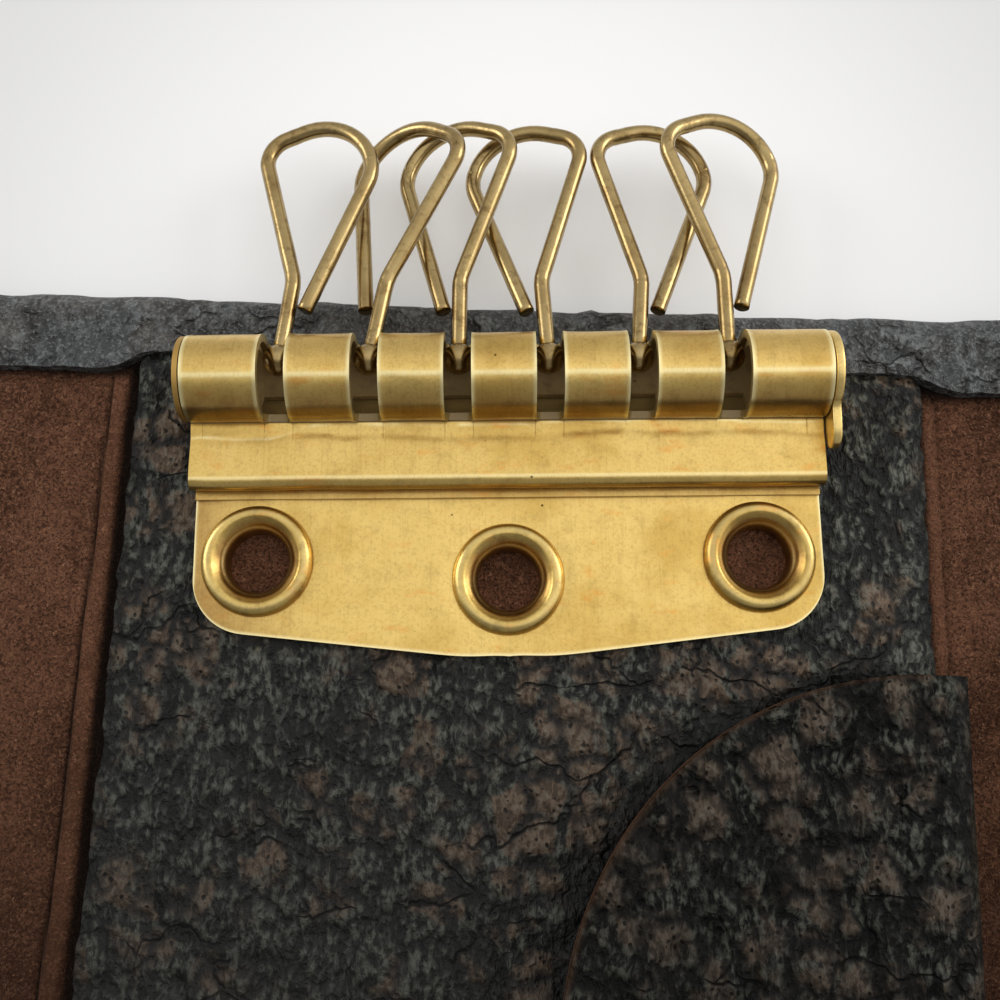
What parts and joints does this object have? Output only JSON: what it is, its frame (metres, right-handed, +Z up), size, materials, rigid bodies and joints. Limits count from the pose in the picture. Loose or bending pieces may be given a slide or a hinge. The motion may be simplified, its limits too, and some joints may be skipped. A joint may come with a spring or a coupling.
{
  "type": "key case",
  "caption": "Three-leaf leather key case with a slotted brass frame, swinging wire key hooks, a release lever, a guard leaf and a snap closure.",
  "frame": {"origin": "on the flat underside of the middle leaf, below the midpoint between the two outer eyelets", "axes": "+X along the opened case from the left flap to the right flap, +Y towards the hook edge, +Z up out of the lined inside"},
  "size_m": [0.1555, 0.1105, 0.0104],
  "materials": {
    "outer_leather": "charcoal grained leather, half matt",
    "panel_leather": "charcoal tile-grained leather, tile tops worn brown",
    "guard_leather": "charcoal large-grained leather",
    "suede": "red-brown suede",
    "board": "bonded filler board, hidden",
    "frame_brass": "satin gold brass",
    "eyelet_brass": "polished gold brass",
    "tube_brass": "tarnished olive brass",
    "hook_brass": "worn antique brass wire",
    "snap_brass": "polished brass"
  },
  "bodies": {
    "case_centre": {"shell_centre": "outer_leather", "board_centre": "board", "lining_centre": "suede", "centre_panel": "panel_leather", "guard_leaf": "guard_leather", "guard_backing": "suede", "key_frame": "frame_brass", "eyelet_left": "eyelet_brass", "eyelet_middle": "eyelet_brass", "eyelet_right": "eyelet_brass"},
    "left_flap": {"shell_left": "outer_leather", "board_left": "board", "lining_left": "suede", "snap_stud": "snap_brass", "snap_rivet": "snap_brass"},
    "right_flap": {"shell_right": "outer_leather", "board_right": "board", "lining_right": "suede", "snap_socket": "snap_brass", "snap_cap": "snap_brass"},
    "lock_tube": {"lock_tube": "tube_brass", "release_lever": "frame_brass"},
    "hook_1": {"hook_1": "hook_brass"},
    "hook_2": {"hook_2": "hook_brass"},
    "hook_3": {"hook_3": "hook_brass"},
    "hook_4": {"hook_4": "hook_brass"},
    "hook_5": {"hook_5": "hook_brass"},
    "hook_6": {"hook_6": "hook_brass"}
  },
  "joints": [
    {"name": "left_fold", "type": "hinge", "parent": "case_centre", "child": "left_flap", "pos_m": [-0.0335, 0, 0.0077], "axis": [0, 1, 0], "range_deg": [0, 177.7]},
    {"name": "right_fold", "type": "hinge", "parent": "case_centre", "child": "right_flap", "pos_m": [0.0342, 0, 0.0096], "axis": [0, -1, 0], "range_deg": [0, 172.4]},
    {"name": "lever_turn", "type": "hinge", "parent": "case_centre", "child": "lock_tube", "pos_m": [-0.00058, 0.01383, 0.007], "axis": [-0.9991, -0.0419, 0], "range_deg": [0, 40]},
    {"name": "hook_1_swing", "type": "hinge", "parent": "case_centre", "child": "hook_1", "pos_m": [-0.00058, 0.01383, 0.007], "axis": [0.9991, 0.0419, 0], "range_deg": [0, 178]},
    {"name": "hook_2_swing", "type": "hinge", "parent": "case_centre", "child": "hook_2", "pos_m": [-0.00058, 0.01383, 0.007], "axis": [0.9991, 0.0419, 0], "range_deg": [0, 178]},
    {"name": "hook_3_swing", "type": "hinge", "parent": "case_centre", "child": "hook_3", "pos_m": [-0.00058, 0.01383, 0.007], "axis": [0.9991, 0.0419, 0], "range_deg": [0, 178]},
    {"name": "hook_4_swing", "type": "hinge", "parent": "case_centre", "child": "hook_4", "pos_m": [-0.00058, 0.01383, 0.007], "axis": [0.9991, 0.0419, 0], "range_deg": [0, 178]},
    {"name": "hook_5_swing", "type": "hinge", "parent": "case_centre", "child": "hook_5", "pos_m": [-0.00058, 0.01383, 0.007], "axis": [0.9991, 0.0419, 0], "range_deg": [0, 178]},
    {"name": "hook_6_swing", "type": "hinge", "parent": "case_centre", "child": "hook_6", "pos_m": [-0.00058, 0.01383, 0.007], "axis": [0.9991, 0.0419, 0], "range_deg": [0, 178]}
  ],
  "couplings": [
    {"joint": "hook_2_swing", "follows": "hook_1_swing", "ratio": 1},
    {"joint": "hook_3_swing", "follows": "hook_1_swing", "ratio": 1},
    {"joint": "hook_4_swing", "follows": "hook_1_swing", "ratio": 1},
    {"joint": "hook_5_swing", "follows": "hook_6_swing", "ratio": 1}
  ]
}
